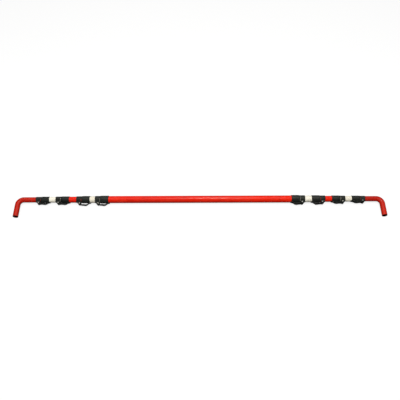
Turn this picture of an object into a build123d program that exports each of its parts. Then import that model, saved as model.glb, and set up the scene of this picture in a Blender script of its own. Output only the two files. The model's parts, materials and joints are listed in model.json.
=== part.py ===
from build123d import *
from math import asin, degrees, hypot
import os

# Telescoping cargo bar for a pickup bed or trailer, lying flat as it does when it is put down.
# The bar's axis is +X, its middle is the origin, +Z is up, and the legs and lock levers point to -Y.
# Five tube sizes nest in each other. A cam lock sits on the end of every outer tube and grips the
# next smaller one, four to a side, and the smallest tube ends in a bent leg for a stake pocket.
# Everything is in millimetres. Both sides are built pointing to +X, and the left one is mirrored.

# ---- Tubes, from the centre tube outwards to the hook ----
TUBE_RADII = (17.5, 16.2, 14.9, 13.95, 13.0)
TUBE_WALLS = (1.1, 1.1, 0.8, 0.8, 1.2)
STAGES = (1, 2, 3, 4)
HOOK_STAGE = STAGES[-1]
CENTRE_TUBE_SHOWING = 894.0     # between the two innermost locks
TUBE_INSERTION = 200.0          # from a lock's outer face to the inner end of the tube that it grips
TUBE_EDGE_BREAK = 0.25

# ---- How far each tube stands out of the lock before it, from the centre outwards ----
EXPOSED = {"left": (25.5, 35.0, 31.0), "right": (33.0, 32.0, 31.0)}
LEG_AXIS_X = 889.5              # half the spacing of the two legs

# ---- How each lock is turned about the bar, in degrees: positive drops its lever to the floor ----
LOCK_ROLL = {"left": (11.0, 16.0, 5.0, 7.0), "right": (-3.0, -2.0, -2.0, -11.0)}

# ---- Hook: the bend and the leg that drops into a stake pocket ----
BEND_RADIUS = 27.0
LEG_REACH = 92.0                # from the bar's axis to the leg's open end

# ---- Lock body, with distances along it measured back from its outer face ----
LOCK_LENGTH = 66.0
SHOULDER = 26.0                 # where the outer tube's end butts inside the lock
RELIEF_SLOT = (23.0, 25.0)      # slot that lets the collar flex, from and to
RELIEF_HALF_ANGLE = 92.0        # how far the slot runs each way round from the lever
STEP_END = 31.0                 # where the collar has swelled to the sleeve's diameter
COLLAR_FIT = 0.10               # running clearance of the gripped tube in the collar
COLLAR_WALLS = (1.8, 1.8, 1.6, 1.5)
SLEEVE_WALLS = (1.9, 1.8, 1.6, 1.45)
END_ROUNDING = 0.9
WINDOW = (6.0, RELIEF_SLOT[0])  # opening for the cam between the ears
WINDOW_HALF_WIDTH = 6.6
TIP_NOTCH_START = 57.0          # flat on the sleeve that the lever's tip folds down to
TIP_NOTCH_WALL = 1.15
TIP_NOTCH_SIDE_GAP = 1.0
TIP_GAP = 0.5                   # between the closed lever's tip and the outer tube

# ---- Ears and pivot pin: the two inner locks have the larger levers ----
PIN_SETBACKS = (15.5, 15.5, 14.2, 14.2)
EAR_RADII = (6.8, 6.8, 6.0, 6.0)
PIN_RISE = 5.8                  # pin axis above the gripped tube's surface
EAR_INNER_Z = 6.8
EAR_OUTER_Z = 9.8
EAR_BASE = (1.6, 22.4)
EAR_BASE_DEPTH = 1.0            # the ears' outline turns in this far below the gripped tube's surface
EAR_EDGE_ROUNDING = 0.7
PIN_RADIUS = 2.0
PIN_HEAD_RADIUS = 2.8
PIN_HEAD_HEIGHT = 0.9
PIN_HEAD_ROUNDING = 0.8
PIN_FIT = 0.05                  # running clearance of the pin in the lever

# ---- Cam lever ----
LEVER_RISES = (12.1, 12.8, 9.6, 9.6)    # crest of the lever above the sleeve
LEVER_TIP = 72.0                        # the tip passes the lock's inner end a little
LEVER_OUTLINE = (                       # distance from the outer face, share of the rise
    (27.0, 0.88),
    (36.0, 0.93),
    (43.5, 1.0),
    (50.5, 0.88),
    (56.5, 0.51),
    (62.0, 0.22),
    (67.0, 0.12),
    (LEVER_TIP, 0.0),
)
LEVER_WEB = (2.9, 1.5)                  # thickness of the web, at the root and at the tip
LEVER_FLANGES = (2.9, 4.6, 5.4, 5.4, 4.6, 3.0, 1.9, 1.7, 1.5)   # depth of the sides, root to tip
FLANGE_CUTS = (0.0, 0.0, 0.4, 0.4)      # the two outer locks have shallower sides
CHANNEL_SPAN = (28.5, 59.0)             # hollow under the lever, between its sides
CHANNEL_HALF_WIDTH = 4.8
LEVER_ROOT_SETBACK = 20.5
HEAD_HALF_WIDTH = 6.3
WAIST_HALF_WIDTH = 6.4
GRIP_HALF_WIDTH = 7.2
TIP_HALF_WIDTH = 5.6
WAIST_SETBACK = 32.0
GRIP_SETBACKS = (42.0, 54.0)            # between them the lever has its full width
PLAN_ROUNDING = 6.0
TIP_CORNER_ROUNDING = 3.0
LEVER_EDGE_ROUNDING = 0.55
CAM_RADIUS = 3.2
CAM_THROW = 0.6                         # how far the cam's centre stands off the pin
HEAD_TOP_RADIUS = 4.0
HEAD_TOP_LEAN = 1.4                     # the head's top leans towards the arm
HEAD_TOP_INSET = 0.3                    # and stays a little inside the ears' outline
ROOT_RADIUS = 1.4                       # rounds the corner where the head runs into the arm
ROOT_SETBACK = 24.0
GRIP_RIBS = (0.36, 0.41, 0.46, 0.51)    # finger ribs on the crest, as shares of the lever's back
GRIP_RIB_RADIUS = 0.6

# ---- Brake shoe between the cam and the gripped tube ----
SHOE_SPAN = (7.0, 21.8)
SHOE_HALF_WIDTH = 6.2
SHOE_RISE = 1.9
SHOE_FIT = 0.05
SHOE_EDGE_ROUNDING = 0.5

# ---- Screw that holds the lock body on its tube, underneath at the back, away from the lever ----
SCREW_SETBACK = 46.0
SCREW_TURN = -38.0              # about the bar, from straight back towards the underside
BOSS_RADIUS = 5.2
BOSS_HEIGHT = 0.4
SCREW_HEAD_RADIUS = 3.4
SCREW_HEAD_HEIGHT = 1.3
SCREW_RADIUS = 1.45
SCREW_TIP_SHORT = 0.1                   # the tip stops this far short of the tube's bore
CROSS_RECESS = (3.6, 0.9, 0.7)          # length, width and depth

# ---- Guide ring on the inner end of each sliding tube ----
GUIDE_FLANGE = 5.0
GUIDE_STEM = 12.0
GUIDE_FIT = 0.08                # running clearance of the flange in the outer tube
GUIDE_STEM_FIT = 0.05           # running clearance of the stem in its own tube
GUIDE_WALL = 2.0

# ---- How far cutting tools run past what they cut ----
OVERCUT = 20.0
SHORT_OVERCUT = 1.0


def inner_radius(size):
    """Bore radius of a tube, where size 0 is the centre tube and 4 the hook."""
    return TUBE_RADII[size] - TUBE_WALLS[size]


def sleeve_radius(stage):
    """Outer radius of a lock body where it sits on the outer tube."""
    return TUBE_RADII[stage - 1] + SLEEVE_WALLS[stage - 1]


def collar_radius(stage):
    """Outer radius of a lock body where it grips the inner tube."""
    return TUBE_RADII[stage] + COLLAR_WALLS[stage - 1]


def pin_reach(stage):
    """Distance from the bar's axis to a lever's pivot pin."""
    return TUBE_RADII[stage] + PIN_RISE


def lock_face(side, stage):
    """Distance from the bar's middle to the outer face of a lock."""
    lengths = stage * LOCK_LENGTH
    return CENTRE_TUBE_SHOWING / 2 + lengths + sum(EXPOSED[side][: stage - 1])


def floor_drop():
    """Height of the bar's axis over the floor, with the biggest locks resting on it."""
    return sleeve_radius(1)


def leg_roll():
    """Angle, in degrees, that drops the leg until the rim of its open end rests on the floor."""
    rim = hypot(LEG_REACH, TUBE_RADII[HOOK_STAGE])
    rim_angle = asin(TUBE_RADII[HOOK_STAGE] / rim)
    return degrees(asin(floor_drop() / rim) - rim_angle)


def rod_x(radius, start, end):
    """Solid round bar along X."""
    return Pos((start + end) / 2, 0, 0) * Rot(0, 90, 0) * Cylinder(radius, abs(end - start))


def box_between(low, high):
    """Box from its lowest to its highest corner."""
    size = [b - a for a, b in zip(low, high)]
    middle = [(a + b) / 2 for a, b in zip(low, high)]
    return Pos(*middle) * Box(*size)


def straight_tube(size, start, end):
    """Tube along X with broken outer edges at both ends."""
    blank = rod_x(TUBE_RADII[size], start, end)
    blank = chamfer(blank.edges().filter_by(GeomType.CIRCLE), TUBE_EDGE_BREAK)
    return blank - rod_x(inner_radius(size), start - OVERCUT, end + OVERCUT)


def hook_rod(start, leg_x):
    """Smallest tube: straight, then a right-angle bend into the leg."""
    radius = TUBE_RADII[HOOK_STAGE]
    path = FilletPolyline((start, 0), (leg_x, 0), (leg_x, -LEG_REACH), radius=BEND_RADIUS)
    ring = Circle(radius) - Circle(inner_radius(HOOK_STAGE))
    rod = sweep(Plane(origin=(start, 0, 0), z_dir=(1, 0, 0)) * ring, path)
    leg_end = rod.faces().sort_by(Axis.Y)[0]
    leg_rim = leg_end.edges().sort_by(SortBy.LENGTH)[-1]
    return chamfer(leg_rim, TUBE_EDGE_BREAK)


def screw_line(depth_from, depth_to, radius):
    """Short cylinder along the screw, between two distances from the bar's axis, before its turn."""
    middle = (depth_from + depth_to) / 2
    drill = Rot(90, 0, 0) * Cylinder(radius, depth_to - depth_from)
    return Pos(-SCREW_SETBACK, middle, 0) * drill


def screw_turned(shape):
    """Turns something drawn straight behind the bar to where the screw is."""
    return Rot(SCREW_TURN, 0, 0) * shape


def ear_outline(stage):
    """Rounded lug in the plane of the lever, seen along the pivot pin."""
    lobe = Pos(-PIN_SETBACKS[stage - 1], -pin_reach(stage)) * Circle(EAR_RADII[stage - 1])
    base_depth = TUBE_RADII[stage] / 2
    base_from, base_to = EAR_BASE
    base_top = TUBE_RADII[stage] - EAR_BASE_DEPTH
    base = Pos(-(base_from + base_to) / 2, -(base_depth + base_top) / 2)
    base *= Rectangle(base_to - base_from, base_top - base_depth)
    return make_hull(lobe.edges() + base.edges())


def lock_body(stage):
    """One moulded piece: a sleeve on the outer tube, a slotted collar and two ears for the lever."""
    bore = TUBE_RADII[stage] + COLLAR_FIT
    seat = TUBE_RADII[stage - 1]
    collar = collar_radius(stage)
    sleeve = sleeve_radius(stage)
    section = Polyline(
        (0, bore),
        (0, collar),
        (-RELIEF_SLOT[0], collar),
        (-STEP_END, sleeve),
        (-LOCK_LENGTH, sleeve),
        (-LOCK_LENGTH, seat),
        (-SHOULDER, seat),
        (-SHOULDER, bore),
        close=True,
    )
    body = revolve(make_face(section), Axis.X)
    rims = body.edges().filter_by(GeomType.CIRCLE).group_by(Axis.X)
    outer_rims = [end.sort_by(SortBy.RADIUS)[-1] for end in (rims[0], rims[-1])]
    body = fillet(outer_rims, END_ROUNDING)

    ear = extrude(ear_outline(stage), EAR_OUTER_Z - EAR_INNER_Z)
    outer_face_edges = ear.faces().sort_by(Axis.Z)[-1].edges()
    ear = Pos(0, 0, EAR_INNER_Z) * fillet(outer_face_edges, EAR_EDGE_ROUNDING)
    body += [ear, mirror(ear, Plane.XY)]

    boss_face = sleeve + BOSS_HEIGHT
    body += screw_turned(screw_line(seat, boss_face, BOSS_RADIUS))
    body -= screw_turned(screw_line(0, boss_face + SHORT_OVERCUT, SCREW_RADIUS))

    body -= rod_x(bore, -SHOULDER, OVERCUT)
    body -= rod_x(seat, -LOCK_LENGTH - OVERCUT, -SHOULDER)
    window_from, window_to = WINDOW
    window_low = (-window_to, -pin_reach(stage) - OVERCUT, -WINDOW_HALF_WIDTH)
    window_high = (-window_from, -bore / 2, WINDOW_HALF_WIDTH)
    body -= box_between(window_low, window_high)
    body -= relief_cutter(stage)
    notch_half_width = GRIP_HALF_WIDTH + TIP_NOTCH_SIDE_GAP
    notch_low = (-LOCK_LENGTH - SHORT_OVERCUT, -sleeve - OVERCUT, -notch_half_width)
    notch_high = (-TIP_NOTCH_START, -seat - TIP_NOTCH_WALL, notch_half_width)
    body -= box_between(notch_low, notch_high)
    body -= pin_shank(stage)
    return body


def relief_cutter(stage):
    """Part-turn ring that cuts the slot round the front of the collar."""
    slot_from, slot_to = RELIEF_SLOT
    deep = TUBE_RADII[stage] - SHORT_OVERCUT
    high = sleeve_radius(stage) + OVERCUT
    section = Pos(-(slot_from + slot_to) / 2, -(deep + high) / 2)
    section *= Rectangle(slot_to - slot_from, high - deep)
    ring = revolve(section, Axis.X, 2 * RELIEF_HALF_ANGLE)
    return Rot(-RELIEF_HALF_ANGLE, 0, 0) * ring


def pin_shank(stage):
    """Plain part of a pivot pin, along Z through both ears."""
    place = Pos(-PIN_SETBACKS[stage - 1], -pin_reach(stage), 0)
    return place * Cylinder(PIN_RADIUS, 2 * EAR_OUTER_Z)


def pivot_pin(stage):
    """Riveted pin with a low domed head on each ear."""
    head = Cylinder(PIN_HEAD_RADIUS, PIN_HEAD_HEIGHT)
    head = fillet(head.edges().sort_by(Axis.Z)[-1], PIN_HEAD_ROUNDING)
    place = Pos(-PIN_SETBACKS[stage - 1], -pin_reach(stage), EAR_OUTER_Z + PIN_HEAD_HEIGHT / 2)
    top = place * head
    return pin_shank(stage) + [top, mirror(top, Plane.XY)]


def lever_level(stage, share):
    """Height of the lever's back over the bar's axis, from its tip (0) to its crest (1)."""
    tip_level = TUBE_RADII[stage - 1] + TIP_GAP + LEVER_WEB[1]
    crest_level = sleeve_radius(stage) + LEVER_RISES[stage - 1]
    return tip_level + share * (crest_level - tip_level)


def lever_back(stage):
    """Curve of the lever's outer surface, from its root to its tip."""
    root = (-LEVER_ROOT_SETBACK, -(pin_reach(stage) + EAR_RADII[stage - 1]))
    points = [(-setback, -lever_level(stage, share)) for setback, share in LEVER_OUTLINE]
    return Spline(root, *points)


def below_back(stage, depths):
    """Curve under the lever's back, at one depth for the root and one for each outline point."""
    back = lever_back(stage)
    points = []
    for step, depth in enumerate(depths):
        along = step / len(LEVER_OUTLINE)
        inward = (back % along).rotate(Axis.Z, -90)
        points.append(back @ along + inward * depth)
    return Spline(*points)


def lever_arm(stage):
    """Bowed arm of the lever, seen along the pin: its sides are deepest under the finger."""
    back = lever_back(stage)
    cut = FLANGE_CUTS[stage - 1]
    depths = [depth - cut if depth > LEVER_WEB[0] else depth for depth in LEVER_FLANGES]
    under = below_back(stage, depths)
    return make_face([back, Line(back @ 1, under @ 1), under, Line(under @ 0, back @ 0)])


def lever_channel(stage):
    """Hollow between the lever's sides, which leaves the web under its back."""
    steps = len(LEVER_OUTLINE)
    root, tip = LEVER_WEB
    web = below_back(stage, [root + (tip - root) * step / steps for step in range(steps + 1)])
    foot = [Vector((web @ end).X, -TUBE_RADII[stage]) for end in (0, 1)]
    under_web = make_face([web, Line(web @ 1, foot[1]), Line(foot[1], foot[0]), Line(foot[0], web @ 0)])
    channel = extrude(under_web, CHANNEL_HALF_WIDTH, both=True)
    from_end, to_end = CHANNEL_SPAN
    reach = pin_reach(stage) + OVERCUT
    return channel & box_between((-to_end, -reach, -reach), (-from_end, 0, reach))


def lever_head(stage):
    """Cam head: its lobe presses towards the tube, and its top blends into the arm."""
    pin_x = -PIN_SETBACKS[stage - 1]
    pin_y = -pin_reach(stage)
    cam = Pos(pin_x, pin_y + CAM_THROW) * Circle(CAM_RADIUS)
    top_rise = EAR_RADII[stage - 1] - HEAD_TOP_RADIUS - HEAD_TOP_INSET
    top = Pos(pin_x - HEAD_TOP_LEAN, pin_y - top_rise) * Circle(HEAD_TOP_RADIUS)
    root_y = ROOT_RADIUS + HEAD_TOP_INSET - lever_level(stage, LEVER_OUTLINE[0][1])
    root = Pos(-ROOT_SETBACK, root_y) * Circle(ROOT_RADIUS)
    return make_hull(cam.edges() + top.edges() + root.edges())


def lever_plan():
    """Outline of the lever from above: straight in the ears, waisted, then wide under the finger."""
    grip_from, grip_to = GRIP_SETBACKS
    tip_x = -LEVER_TIP - SHORT_OVERCUT
    half = Polyline(
        (0, 0),
        (0, HEAD_HALF_WIDTH),
        (-RELIEF_SLOT[1], HEAD_HALF_WIDTH),
        (-WAIST_SETBACK, WAIST_HALF_WIDTH),
        (-grip_from, GRIP_HALF_WIDTH),
        (-grip_to, GRIP_HALF_WIDTH),
        (tip_x, TIP_HALF_WIDTH),
        (tip_x, 0),
        close=True,
    )
    outline = make_face(half)
    outline += mirror(outline, Plane.XZ)
    bends = outline.vertices().filter_by(lambda v: -LEVER_TIP < v.X < -ROOT_SETBACK - ROOT_RADIUS * 2)
    outline = fillet(bends, PLAN_ROUNDING)
    tip_corners = outline.vertices().sort_by(Axis.X)[:2]
    return fillet(tip_corners, TIP_CORNER_ROUNDING)


def long_edges(lever):
    """The lever's edges that run along it, top and bottom, past the ears."""
    outside = lever.edges().filter_by(lambda e: abs(e.center().Z) > TIP_HALF_WIDTH / 2)
    return outside.filter_by(lambda e: e.center().X < -ROOT_SETBACK)


def cam_lever(stage):
    """Whole lever, closed: it lies along the bar with its tip towards the middle."""
    profile = lever_head(stage) + lever_arm(stage)
    lever = extrude(profile, GRIP_HALF_WIDTH + SHORT_OVERCUT, both=True)
    plan = Rot(90, 0, 0) * lever_plan()
    lever &= extrude(plan, 2 * OVERCUT + pin_reach(stage), both=True)
    lever = fillet(long_edges(lever), LEVER_EDGE_ROUNDING)
    lever -= lever_channel(stage)
    for share in GRIP_RIBS:
        rib = Cylinder(GRIP_RIB_RADIUS, 2 * WAIST_HALF_WIDTH)
        lever += Pos(lever_back(stage) @ share) * rib
    hole = Pos(-PIN_SETBACKS[stage - 1], -pin_reach(stage), 0)
    return lever - hole * Cylinder(PIN_RADIUS + PIN_FIT, 2 * EAR_OUTER_Z)


def brake_shoe(stage):
    """Small block under the cam, hollowed to the gripped tube."""
    shoe_from, shoe_to = SHOE_SPAN
    top = TUBE_RADII[stage] + SHOE_RISE
    low = (-shoe_to, -top, -SHOE_HALF_WIDTH)
    high = (-shoe_from, -TUBE_RADII[stage] / 2, SHOE_HALF_WIDTH)
    block = box_between(low, high)
    block = fillet(block.faces().sort_by(Axis.Y)[0].edges(), SHOE_EDGE_ROUNDING)
    hollow = rod_x(TUBE_RADII[stage] + SHOE_FIT, -shoe_to - SHORT_OVERCUT, -shoe_from + SHORT_OVERCUT)
    return block - hollow


def body_screw(stage):
    """Pan-head screw through the sleeve, ending inside the wall of the outer tube."""
    seat = sleeve_radius(stage) + BOSS_HEIGHT
    tip = inner_radius(stage - 1) + SCREW_TIP_SHORT
    head = screw_line(seat, seat + SCREW_HEAD_HEIGHT, SCREW_HEAD_RADIUS)
    head = fillet(head.edges().sort_by(Axis.Y)[-1], SCREW_HEAD_HEIGHT / 2)
    length, width, depth = CROSS_RECESS
    recess = Box(length, 2 * depth, width) + Box(width, 2 * depth, length)
    head -= Pos(-SCREW_SETBACK, seat + SCREW_HEAD_HEIGHT, 0) * recess
    return screw_turned(head + screw_line(tip, seat, SCREW_RADIUS))


def guide_ring(stage):
    """Plastic ring on a tube's inner end: its flange runs in the outer tube, its stem in its own."""
    flange = inner_radius(stage - 1) - GUIDE_FIT
    stem = inner_radius(stage) - GUIDE_STEM_FIT
    ring = rod_x(flange, -GUIDE_FLANGE, 0)
    ring = chamfer(ring.edges().filter_by(GeomType.CIRCLE), TUBE_EDGE_BREAK)
    ring += rod_x(stem, 0, GUIDE_STEM)
    bore = inner_radius(stage) - GUIDE_WALL
    return ring - rod_x(bore, -GUIDE_FLANGE - SHORT_OVERCUT, GUIDE_STEM + SHORT_OVERCUT)


def drilled(tube, side, stage):
    """Cuts the lock's screw hole in the wall of the tube that carries it."""
    hole = screw_turned(screw_line(0, TUBE_RADII[stage - 1] + SHORT_OVERCUT, SCREW_RADIUS))
    placed = Pos(lock_face(side, stage), 0, 0) * Rot(LOCK_ROLL[side][stage - 1], 0, 0) * hole
    return tube - placed


def side_parts(side):
    """All the nodes of one side, pointing to +X."""
    parts = {}
    for stage in STAGES:
        face = lock_face(side, stage)
        seated = Pos(face, 0, 0) * Rot(LOCK_ROLL[side][stage - 1], 0, 0)
        parts[f"lock_{stage}_body"] = seated * lock_body(stage)
        parts[f"lock_{stage}_lever"] = seated * cam_lever(stage)
        parts[f"lock_{stage}_pin"] = seated * pivot_pin(stage)
        parts[f"lock_{stage}_shoe"] = seated * brake_shoe(stage)
        parts[f"lock_{stage}_screw"] = seated * body_screw(stage)
        tube_start = face - TUBE_INSERTION
        parts[f"guide_ring_{stage}"] = Pos(tube_start, 0, 0) * guide_ring(stage)
        if stage == HOOK_STAGE:
            parts["hook_rod"] = Rot(leg_roll(), 0, 0) * hook_rod(tube_start, LEG_AXIS_X)
        else:
            tube_end = lock_face(side, stage + 1) - SHOULDER
            tube = straight_tube(stage, tube_start, tube_end)
            parts[f"tube_{stage}"] = drilled(tube, side, stage + 1)
    return parts


def cargo_bar():
    """Every node of the bar, by name."""
    seat_x = CENTRE_TUBE_SHOWING / 2 + LOCK_LENGTH - SHOULDER
    centre = straight_tube(0, -seat_x, seat_x)
    centre = drilled(centre, "right", 1)
    centre = mirror(drilled(mirror(centre, Plane.YZ), "left", 1), Plane.YZ)
    nodes = {"centre_tube": centre}
    for name, shape in side_parts("right").items():
        nodes[f"right_{name}"] = shape
    for name, shape in side_parts("left").items():
        nodes[f"left_{name}"] = mirror(shape, Plane.YZ)
    return nodes


os.makedirs("parts", exist_ok=True)
for node, shape in cargo_bar().items():
    export_step(shape, f"parts/{node}.step")
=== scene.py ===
"""Looks for the telescoping cargo bar: its finishes, a pale floor, soft studio light and the camera."""
import json
import math

import bmesh
import bpy
from mathutils import Matrix, Vector


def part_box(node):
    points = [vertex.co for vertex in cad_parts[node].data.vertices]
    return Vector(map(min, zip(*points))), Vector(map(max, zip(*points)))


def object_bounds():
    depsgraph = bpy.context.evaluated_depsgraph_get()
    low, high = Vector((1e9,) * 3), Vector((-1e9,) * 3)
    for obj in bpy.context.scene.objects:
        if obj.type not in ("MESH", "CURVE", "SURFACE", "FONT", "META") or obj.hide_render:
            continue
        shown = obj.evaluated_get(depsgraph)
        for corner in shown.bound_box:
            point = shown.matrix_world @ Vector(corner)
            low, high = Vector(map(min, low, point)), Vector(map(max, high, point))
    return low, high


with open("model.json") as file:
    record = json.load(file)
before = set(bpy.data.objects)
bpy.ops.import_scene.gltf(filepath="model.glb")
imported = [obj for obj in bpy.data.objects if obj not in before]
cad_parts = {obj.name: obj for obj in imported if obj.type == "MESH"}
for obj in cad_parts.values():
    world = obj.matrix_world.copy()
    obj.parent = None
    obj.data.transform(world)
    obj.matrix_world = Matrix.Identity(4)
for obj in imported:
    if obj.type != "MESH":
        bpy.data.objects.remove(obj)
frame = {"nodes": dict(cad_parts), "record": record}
cad_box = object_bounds()

MM = 0.001

# ---- Colours, as sRGB from 0 to 255 ----
RED = {"deep": (218, 24, 5), "body": (240, 38, 8), "worn": (240, 92, 62), "grime": (176, 22, 10)}
# Painted shade: the hooks take the bar's red, painted darker for the dimmer light at the bar's ends
HOOK_RED_SHADED = {"deep": (166, 20, 6), "body": (197, 32, 12), "worn": (222, 84, 60), "grime": (132, 16, 10)}
IVORY = {"deep": (234, 226, 204), "body": (246, 241, 224), "worn": (205, 198, 176), "grime": (206, 194, 164)}
LOCK_BLACK = {"deep": (22, 25, 22), "body": (32, 36, 32), "worn": (78, 83, 76)}
LEVER_BLACK = {"deep": (14, 16, 14), "body": (22, 25, 22), "worn": (84, 89, 82)}
RUBBER_BLACK = {"deep": (20, 20, 20), "body": (38, 37, 36), "worn": (70, 68, 66)}
NYLON = {"deep": (200, 196, 180), "body": (222, 219, 206), "worn": (176, 170, 150)}
STEEL = {"deep": (186, 186, 180), "body": (216, 215, 209), "worn": (234, 233, 228)}
BARE_STEEL = (120, 116, 110)
# Painted shade: the wall inside the open leg is bare, and its near-black colour paints the shade in the bore
LEG_BORE_SHADE = (44, 20, 16)
# Painted shade: a dark colour on the tubes under the locks' relief slots, on the front side only
SLOT_SHADE = (66, 58, 50)

# ---- Powder coat ----
CHIP_RADIUS = 1.1 * MM              # how far the chipped paint reaches from an edge
RUB_STRETCH = (7.0, 1500.0, 1500.0)         # repeats to a metre along and across the bar
LEG_RUB_STRETCH = (1500.0, 7.0, 1500.0)     # the same for the leg, which points to -Y
RUBS_TURN = (-14.0 * MM, -22.0 * MM)        # where the rubs turn from the bar into the leg
PEEL_DEPTH = 0.25 * MM
WEAR_DEPTH = -0.05 * MM
BORE_WALL = (0.7 * MM, 1.0 * MM)            # depth under the paint where the leg's bore begins
BORE_START = (-26.0 * MM, -30.0 * MM)       # the leg's straight part, past the bend
SLOT_MIDDLE = 24.0 * MM             # from a lock's outer face back to its relief slot
SLOT_SHADE_REACH = (3.2 * MM, 1.4 * MM)      # from the slot's middle: where its painted shade begins, and is full
SLOT_SHADE_FRONT = (4.0 * MM, -4.0 * MM)     # the same from the bar's back to its front, which faces -Y

# ---- Moulded plastic ----
RUBBED_RADIUS = 0.9 * MM
GRAIN_DEPTH = 0.06 * MM
FLOW_DEPTH = 0.30 * MM
LOCK_GRAIN = 1500.0
LEVER_GRAIN = 2100.0

# ---- Plated steel, rubber and nylon ----
PLATING_DEPTH = 0.03 * MM
SOFT_DEPTH = 0.05 * MM

# ---- Floor ----
FLOOR_LOW = (120, 120, 119)
FLOOR_HIGH = (124, 124, 123)
FLOOR_GLOW = 0.84
FLOOR_HALF_SIZE = 12.0
FLOOR_SQUARES = 8

# ---- Studio ----
WHITE = (1.0, 1.0, 1.0)
WARM = (1.0, 0.93, 0.78)
FILL_LIGHT = 0.12
BACKDROP_LIGHT = 0.97
OVERHEAD_BOX = {"place": (0.0, -0.25, 2.4), "size": (4.4, 2.2), "power": 96.0, "tint": WHITE}
GLOSS_BOXES = {
    "glint_box": {"place": (0.10, 0.2, 2.4), "size": (0.42, 0.3), "power": 38.0, "tint": WARM},
    "back_box": {"place": (0.0, 3.0, 1.5), "size": (5.0, 1.6), "power": 14.0, "tint": WHITE},
    "pin_box": {"place": (0.0, 1.35, 2.35), "size": (4.0, 1.3), "power": 14.0, "tint": WHITE},
}

# ---- Camera ----
CAMERA_ELEVATION = 57.0
CAMERA_DISTANCE = 2.44
CAMERA_LENS = 44.8
CAMERA_SENSOR = 36.0
CAMERA_ROLL = -0.2
CAMERA_AIM = (0.0, -0.0042, 0.0)
CAMERA_REACH = 60.0


def linear(colour):
    """Scene-linear RGBA for an sRGB colour from 0 to 255."""
    channels = []
    for value in colour:
        share = value / 255
        low = share <= 0.04045
        channels.append(share / 12.92 if low else ((share + 0.055) / 1.055) ** 2.4)
    return (*channels, 1.0)


class Finish:
    """One node material, with short calls that add a node, set it and give its output."""

    def __init__(self, name):
        self.material = bpy.data.materials.new(name)
        self.material.use_nodes = True
        self.nodes = self.material.node_tree.nodes
        self.links = self.material.node_tree.links
        self.shader = self.nodes["Principled BSDF"]
        self.place = self.nodes.new("ShaderNodeTexCoord").outputs["Object"]
        self.normal = self.nodes.new("ShaderNodeNewGeometry").outputs["Normal"]

    def put(self, socket, value):
        """Links an output to a socket, or sets the socket to a plain value."""
        if isinstance(value, bpy.types.NodeSocket):
            self.links.new(value, socket)
        else:
            socket.default_value = value

    def math(self, operation, first, second=0.0):
        node = self.nodes.new("ShaderNodeMath")
        node.operation = operation
        self.put(node.inputs[0], first)
        self.put(node.inputs[1], second)
        return node.outputs[0]

    def product(self, first, second):
        return self.math("MULTIPLY", first, second)

    def axes(self):
        """The surface's own coordinates, one output for each axis."""
        apart = self.nodes.new("ShaderNodeSeparateXYZ")
        self.put(apart.inputs[0], self.place)
        return apart.outputs["X"], apart.outputs["Y"], apart.outputs["Z"]

    def stretched(self, stretch, turn=(0.0, 0.0, 0.0)):
        """The surface's own coordinates, scaled along each axis."""
        node = self.nodes.new("ShaderNodeMapping")
        self.put(node.inputs["Vector"], self.place)
        node.inputs["Rotation"].default_value = [math.radians(angle) for angle in turn]
        node.inputs["Scale"].default_value = stretch
        return node.outputs["Vector"]

    def noise(self, scale, detail=3.0, roughness=0.5, stretch=None, turn=(0.0, 0.0, 0.0)):
        """Noise from 0 to 1, with scale in repeats to a metre."""
        node = self.nodes.new("ShaderNodeTexNoise")
        vector = self.stretched(stretch, turn) if stretch else self.place
        self.put(node.inputs["Vector"], vector)
        node.inputs["Scale"].default_value = scale
        node.inputs["Detail"].default_value = detail
        node.inputs["Roughness"].default_value = roughness
        return node.outputs["Fac"]

    def grain(self, scale):
        """Rounded cells, for the grain of a moulded surface."""
        node = self.nodes.new("ShaderNodeTexVoronoi")
        node.feature = "SMOOTH_F1"
        self.put(node.inputs["Vector"], self.place)
        node.inputs["Scale"].default_value = scale
        node.inputs["Smoothness"].default_value = 0.8
        return node.outputs["Distance"]

    def span(self, value, start, end, low=0.0, high=1.0):
        """A smooth step of value, from start to end, between low and high."""
        node = self.nodes.new("ShaderNodeMapRange")
        node.interpolation_type = "SMOOTHSTEP"
        self.put(node.inputs["Value"], value)
        node.inputs["From Min"].default_value = start
        node.inputs["From Max"].default_value = end
        node.inputs["To Min"].default_value = low
        node.inputs["To Max"].default_value = high
        return node.outputs["Result"]

    def blend(self, share, first, second):
        """Colour between first and second."""
        node = self.nodes.new("ShaderNodeMix")
        node.data_type = "RGBA"
        self.put(node.inputs["Factor"], share)
        self.put(node.inputs[6], first)
        self.put(node.inputs[7], second)
        return node.outputs[2]

    def edges(self, radius):
        """1 along the edges of the solid, and 0 away from them."""
        bevel = self.nodes.new("ShaderNodeBevel")
        bevel.samples = 6
        bevel.inputs["Radius"].default_value = radius
        turned = self.nodes.new("ShaderNodeVectorMath")
        turned.operation = "DOT_PRODUCT"
        self.put(turned.inputs[0], bevel.outputs["Normal"])
        self.put(turned.inputs[1], self.normal)
        return self.span(turned.outputs["Value"], start=0.985, end=0.86)

    def bump(self, height, strength, distance):
        """Puts a height on the shader's normal. A second call adds to the first."""
        node = self.nodes.new("ShaderNodeBump")
        node.inputs["Strength"].default_value = strength
        node.inputs["Distance"].default_value = distance
        self.put(node.inputs["Height"], height)
        socket = self.shader.inputs["Normal"]
        if socket.is_linked:
            self.links.new(socket.links[0].from_socket, node.inputs["Normal"])
        self.links.new(node.outputs["Normal"], socket)

    def set(self, socket, value):
        """Puts a value or an output on one of the shader's own sockets."""
        self.put(self.shader.inputs[socket], value)


def two_tone(finish, value, tints):
    """The deep colour where value is low, and the body colour where it is high."""
    share = finish.span(value, start=0.3, end=0.7)
    return finish.blend(share, linear(tints["deep"]), linear(tints["body"]))


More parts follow.
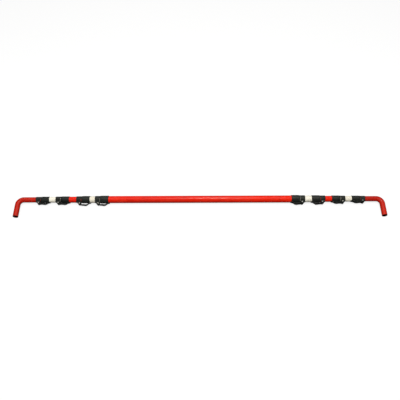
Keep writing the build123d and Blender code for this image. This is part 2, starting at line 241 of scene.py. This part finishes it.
def rub_lines(finish, has_leg):
    """Long fine lines along the tube, which turn with it into the leg."""
    along_bar = finish.noise(1.0, detail=2.0, roughness=0.6, stretch=RUB_STRETCH)
    if not has_leg:
        return along_bar
    along_leg = finish.noise(1.0, detail=2.0, roughness=0.6, stretch=LEG_RUB_STRETCH)
    forward = finish.axes()[1]
    in_leg = finish.span(forward, *RUBS_TURN)
    lines = finish.product(along_leg, in_leg)
    rest = finish.product(along_bar, finish.math("SUBTRACT", 1.0, in_leg))
    return finish.math("ADD", lines, rest)


def painted_bore_shade(finish):
    """1 on the wall inside the open leg, where shade is painted, and 0 outside it. The legs mirror each
    other, so one mask does.
    """
    leg = next(mount for mount in frame["record"]["mounts"] if mount["name"] == "right_leg")
    outside = leg["dims"]["r_mm"] * MM
    sideways, forward, upward = finish.axes()
    forward_share, upward_share = leg["axis"][1:]
    from_middle = finish.math("SUBTRACT", finish.math("ABSOLUTE", sideways), leg["pos_m"][0])
    across = finish.math(
        "SUBTRACT",
        finish.product(forward, upward_share),
        finish.product(upward, forward_share),
    )
    squares = finish.math(
        "ADD",
        finish.product(from_middle, from_middle),
        finish.product(across, across),
    )
    from_axis = finish.math("SQRT", squares)
    skin, wall = BORE_WALL
    within = finish.span(from_axis, outside - skin, outside - wall)
    return finish.product(within, finish.span(forward, *BORE_START))


def slot_middles():
    """Where the locks' relief slots are along the bar."""
    middles = []
    for part in frame["record"]["subparts"]:
        if part["node"].endswith("_body"):
            low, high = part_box(part["node"])
            middles.append(high.x - SLOT_MIDDLE if high.x > 0 else low.x + SLOT_MIDDLE)
    return middles


def painted_slot_shade(finish):
    """Broken painted shade on the tubes under the locks' relief slots, on the levers' side only."""
    sideways, forward, _ = finish.axes()
    bands = 0.0
    for middle in slot_middles():
        away = finish.math("ABSOLUTE", finish.math("SUBTRACT", sideways, middle))
        bands = finish.math("MAXIMUM", bands, finish.span(away, *SLOT_SHADE_REACH))
    in_front = finish.span(forward, *SLOT_SHADE_FRONT)
    broken = finish.span(finish.noise(210.0, roughness=0.6), start=0.30, end=0.62, low=0.30, high=0.80)
    return finish.product(finish.product(bands, in_front), broken)


def scratches(finish, density):
    """Short thin scratches in two directions."""
    first = finish.noise(1.0, detail=1.0, stretch=(90.0, 2600.0, 2600.0), turn=(0.0, 0.0, 24.0))
    second = finish.noise(1.0, detail=1.0, stretch=(2200.0, 110.0, 2200.0), turn=(0.0, 0.0, 12.0))
    first_cut = finish.span(first, start=0.67, end=0.72)
    second_cut = finish.span(second, start=0.69, end=0.74)
    patch = finish.span(finish.noise(24.0, detail=2.0), start=0.45, end=0.65, high=density)
    return finish.product(finish.math("MAXIMUM", first_cut, second_cut), patch)


def powder_coat(name, tints, dulling=0.0, has_leg=False):
    """Powder-coated tube: orange peel, long rubs, scratches, grime, chipped ends, and painted shade under the
    locks' slots and inside the open legs.
    """
    finish = Finish(name)
    tone = finish.noise(9.0, roughness=0.55, stretch=(0.35, 1.0, 1.0))
    body = two_tone(finish, tone, tints)
    mottle = finish.span(finish.noise(160.0, detail=4.0, roughness=0.6), start=0.35, end=0.75, high=0.30)
    body = finish.blend(mottle, body, linear(tints["body"]))

    rub_patch = finish.span(finish.noise(16.0, detail=2.0), start=0.36, end=0.58, high=0.65)
    rubs = finish.product(finish.span(rub_lines(finish, has_leg), start=0.58, end=0.70), rub_patch)
    body = finish.blend(rubs, body, linear(tints["worn"]))
    scratched = scratches(finish, density=0.7)
    body = finish.blend(scratched, body, linear(tints["worn"]))
    grime = finish.span(finish.noise(34.0, detail=6.0, roughness=0.7), start=0.50, end=0.74, high=0.42)
    body = finish.blend(grime, body, linear(tints["grime"]))
    speck = finish.span(finish.noise(420.0, detail=2.0), start=0.70, end=0.78, high=0.6)
    body = finish.blend(speck, body, linear(tints["deep"]))
    # Painted shade under the locks' relief slots, on the front side only
    body = finish.blend(painted_slot_shade(finish), body, linear(SLOT_SHADE))

    chipped = finish.span(finish.noise(260.0, roughness=0.6), start=0.44, end=0.54)
    edge = finish.product(finish.edges(CHIP_RADIUS), chipped)
    body = finish.blend(edge, body, linear(BARE_STEEL))
    # Painted shade: near-black on the wall inside the open leg
    if has_leg:
        body = finish.blend(painted_bore_shade(finish), body, linear(LEG_BORE_SHADE))
    finish.set("Base Color", body)

    smear = finish.noise(45.0, detail=4.0, roughness=0.65, stretch=(0.5, 1.0, 1.0))
    gloss = finish.span(smear, start=0.3, end=0.75, low=0.26 + dulling, high=0.44 + dulling)
    finish.set("Roughness", finish.math("ADD", gloss, finish.product(rubs, 0.22)))
    finish.set("Specular IOR Level", 0.15)
    finish.set("Coat Weight", 0.08)
    finish.set("Coat Roughness", 0.14)
    finish.bump(finish.noise(520.0, detail=2.0), strength=0.16, distance=PEEL_DEPTH)
    finish.bump(finish.math("ADD", rubs, scratched), strength=0.16, distance=WEAR_DEPTH)
    return finish.material


def moulded_plastic(name, tints, grain_scale, sheen, edge_share):
    """Black moulding: fine grain, faint flow marks, grey rubbed edges, scuffs and scratches."""
    finish = Finish(name)
    flow = finish.noise(38.0, roughness=0.55, stretch=(0.6, 1.0, 1.0))
    body = two_tone(finish, flow, tints)
    scuffs = finish.span(finish.noise(240.0, detail=6.0, roughness=0.75), start=0.56, end=0.72, high=0.20)
    body = finish.blend(scuffs, body, linear(tints["worn"]))
    scratched = scratches(finish, density=0.55)
    body = finish.blend(scratched, body, linear(tints["worn"]))
    broken = finish.span(finish.noise(260.0, roughness=0.6), start=0.34, end=0.62)
    rubbed = finish.product(finish.edges(RUBBED_RADIUS), finish.product(broken, edge_share))
    body = finish.blend(rubbed, body, linear(tints["worn"]))
    finish.set("Base Color", body)
    uneven = finish.noise(85.0, detail=4.0, roughness=0.6)
    finish.set("Roughness", finish.span(uneven, start=0.28, end=0.74, low=sheen - 0.07, high=sheen + 0.11))
    finish.set("Specular IOR Level", 0.32)
    finish.bump(finish.grain(grain_scale), strength=0.22, distance=GRAIN_DEPTH)
    finish.bump(flow, strength=0.10, distance=FLOW_DEPTH)
    return finish.material


def plated_steel(name, tints):
    """Zinc-plated steel with a crystalline bloom and wiped marks."""
    finish = Finish(name)
    bloom = finish.noise(900.0, roughness=0.6)
    body = two_tone(finish, bloom, tints)
    wiped = finish.noise(1.0, detail=2.0, stretch=(300.0, 2400.0, 300.0), turn=(0.0, 20.0, 30.0))
    wiped_share = finish.span(wiped, start=0.5, end=0.8, high=0.6)
    finish.set("Base Color", finish.blend(wiped_share, body, linear(tints["worn"])))
    finish.set("Metallic", 1.0)
    finish.set("Roughness", finish.span(bloom, start=0.3, end=0.7, low=0.26, high=0.46))
    finish.bump(wiped, strength=0.15, distance=PLATING_DEPTH)
    return finish.material


def soft_part(name, tints, roughness, scale):
    """Matte rubber or nylon, mottled, with a fine bump."""
    finish = Finish(name)
    mottle = finish.noise(scale, detail=4.0, roughness=0.6)
    body = two_tone(finish, mottle, tints)
    rubbed = finish.span(finish.noise(scale * 3, detail=2.0), start=0.6, end=0.75, high=0.5)
    finish.set("Base Color", finish.blend(rubbed, body, linear(tints["worn"])))
    matte = finish.span(mottle, start=0.3, end=0.7, low=roughness - 0.08, high=roughness + 0.08)
    finish.set("Roughness", matte)
    finish.bump(finish.noise(scale * 8, detail=2.0), strength=0.2, distance=SOFT_DEPTH)
    return finish.material


FINISHES = {
    "red_paint": powder_coat("red_powder_coat", RED),
    # The hooks get a darker copy of the red, as painted shade for the dimmer light at the ends.
    "hook_paint": powder_coat("hook_powder_coat", HOOK_RED_SHADED, dulling=0.06, has_leg=True),
    "white_paint": powder_coat("ivory_powder_coat", IVORY, dulling=0.04),
    "lock_plastic": moulded_plastic("lock_moulding", LOCK_BLACK, LOCK_GRAIN, sheen=0.46, edge_share=0.75),
    "lever_plastic": moulded_plastic("lever_moulding", LEVER_BLACK, LEVER_GRAIN, sheen=0.36, edge_share=0.85),
    "pin_steel": plated_steel("pin_zinc", STEEL),
    "screw_steel": plated_steel("screw_zinc", STEEL),
    "shoe_rubber": soft_part("shoe_rubber", RUBBER_BLACK, roughness=0.7, scale=300.0),
    "guide_plastic": soft_part("guide_nylon", NYLON, roughness=0.45, scale=180.0),
}

for part in frame["record"]["subparts"]:
    node = frame["nodes"][part["node"]]
    node.data.materials.clear()
    node.data.materials.append(FINISHES[part["material_slot"]])


def pale_floor():
    """Large plain floor that the bar lies on. It gives no light and no reflection to the bar."""
    shape = bmesh.new()
    level = Matrix.Translation((0, 0, cad_box[0][2]))
    squares = FLOOR_SQUARES
    bmesh.ops.create_grid(shape, x_segments=squares, y_segments=squares, size=FLOOR_HALF_SIZE, matrix=level)
    mesh = bpy.data.meshes.new("floor")
    shape.to_mesh(mesh)
    shape.free()
    floor = bpy.data.objects.new("floor", mesh)
    bpy.context.scene.collection.objects.link(floor)

    finish = Finish("floor_white")
    cloud = finish.noise(1.2, detail=2.0)
    finish.set("Base Color", finish.blend(cloud, linear(FLOOR_LOW), linear(FLOOR_HIGH)))
    finish.set("Roughness", finish.span(cloud, start=0.3, end=0.7, low=0.75, high=0.9))
    finish.set("Specular IOR Level", 0.2)
    finish.set("Emission Color", (*WHITE, 1.0))
    finish.set("Emission Strength", FLOOR_GLOW)
    mesh.materials.append(finish.material)
    floor.visible_diffuse = False
    floor.visible_glossy = False


def soft_box(name, place, size, power, tint):
    """Rectangular studio light that faces the bar's middle."""
    lamp = bpy.data.lights.new(name, "AREA")
    lamp.color = tint
    lamp.shape = "RECTANGLE"
    lamp.size, lamp.size_y = size
    lamp.energy = power
    holder = bpy.data.objects.new(name, lamp)
    bpy.context.scene.collection.objects.link(holder)
    holder.location = place
    holder.rotation_euler = (-Vector(place)).to_track_quat("-Z", "Y").to_euler()
    return holder


def studio():
    """A long overhead box, three that only show in gloss, and a faint even fill."""
    world = bpy.data.worlds.new("studio")
    world.use_nodes = True
    nodes, links = world.node_tree.nodes, world.node_tree.links
    backdrop = nodes["Background"]
    backdrop.inputs["Color"].default_value = (*WHITE, 1.0)
    seen = nodes.new("ShaderNodeLightPath").outputs["Is Camera Ray"]
    strength = nodes.new("ShaderNodeMapRange")
    strength.inputs["To Min"].default_value = FILL_LIGHT
    strength.inputs["To Max"].default_value = BACKDROP_LIGHT
    links.new(seen, strength.inputs["Value"])
    links.new(strength.outputs["Result"], backdrop.inputs["Strength"])
    bpy.context.scene.world = world
    soft_box("overhead_box", **OVERHEAD_BOX).visible_glossy = False
    for name, box in GLOSS_BOXES.items():
        soft_box(name, **box).visible_diffuse = False
    bpy.context.scene.view_settings.view_transform = "Standard"


def camera():
    """Camera in front of the bar and well above it, looking down at its middle."""
    lens = bpy.data.cameras.new("camera")
    lens.lens = CAMERA_LENS
    lens.sensor_width = CAMERA_SENSOR
    lens.clip_end = CAMERA_REACH
    holder = bpy.data.objects.new("camera", lens)
    bpy.context.scene.collection.objects.link(holder)
    rise = math.radians(CAMERA_ELEVATION)
    away = Vector((0.0, -math.cos(rise), math.sin(rise))) * CAMERA_DISTANCE
    look = (-away).to_track_quat("-Z", "Y").to_matrix().to_4x4()
    roll = Matrix.Rotation(math.radians(CAMERA_ROLL), 4, "Z")
    holder.matrix_world = Matrix.Translation(Vector(CAMERA_AIM) + away) @ look @ roll
    bpy.context.scene.camera = holder


pale_floor()
studio()
camera()
